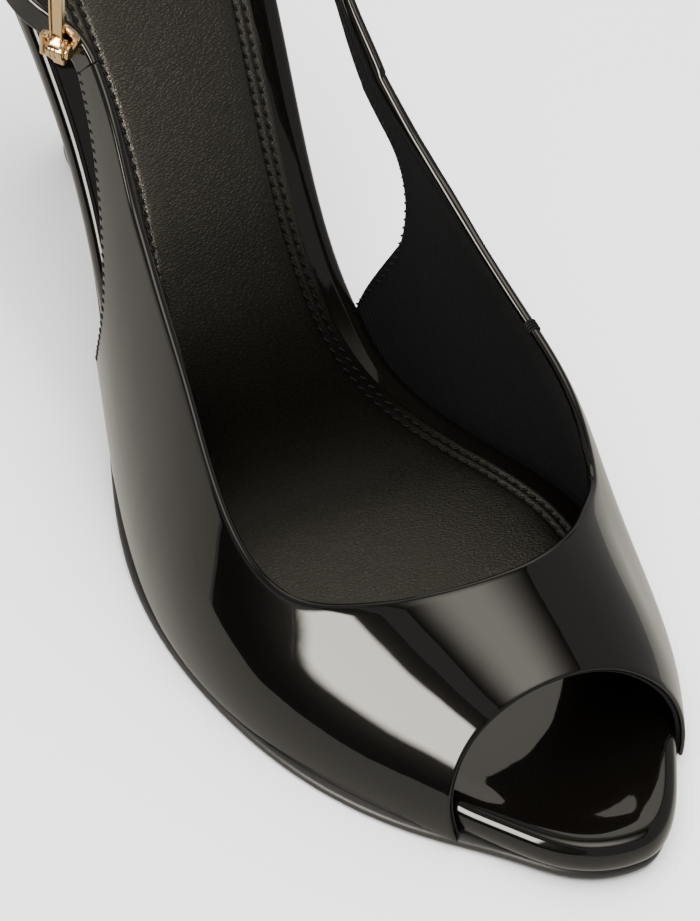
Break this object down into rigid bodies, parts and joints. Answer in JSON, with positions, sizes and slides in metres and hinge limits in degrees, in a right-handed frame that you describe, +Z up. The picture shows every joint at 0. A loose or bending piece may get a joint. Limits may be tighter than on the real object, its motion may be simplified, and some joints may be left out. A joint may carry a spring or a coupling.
{
  "type": "peep toe pump",
  "caption": "Right peep toe pump with low-cut patent vamp, open waist, sling strap with a small buckle, padded sock and a slim high heel.",
  "frame": {"origin": "on the floor, under the middle of the shoe's bounding box", "axes": "+Z up from the floor, toe towards -Y, inner side of the foot towards +X"},
  "size_m": [0.0816, 0.2174, 0.1393],
  "materials": {
    "patent": "high gloss patent",
    "sock_leather": "matte grained",
    "lining": "fine ribbed lining",
    "thread": "twisted sewing thread",
    "sole_rubber": "satin",
    "wrapped_heel": "wrapped in patent",
    "buckle_gold": "polished pale gold"
  },
  "bodies": {
    "root": {"upper": "patent", "sling_strap": "patent", "insole": "patent", "sock": "sock_leather", "outsole": "sole_rubber", "heel": "wrapped_heel", "heel_top_piece": "sole_rubber", "buckle_frame": "buckle_gold", "buckle_tongue": "buckle_gold"}
  },
  "joints": []
}
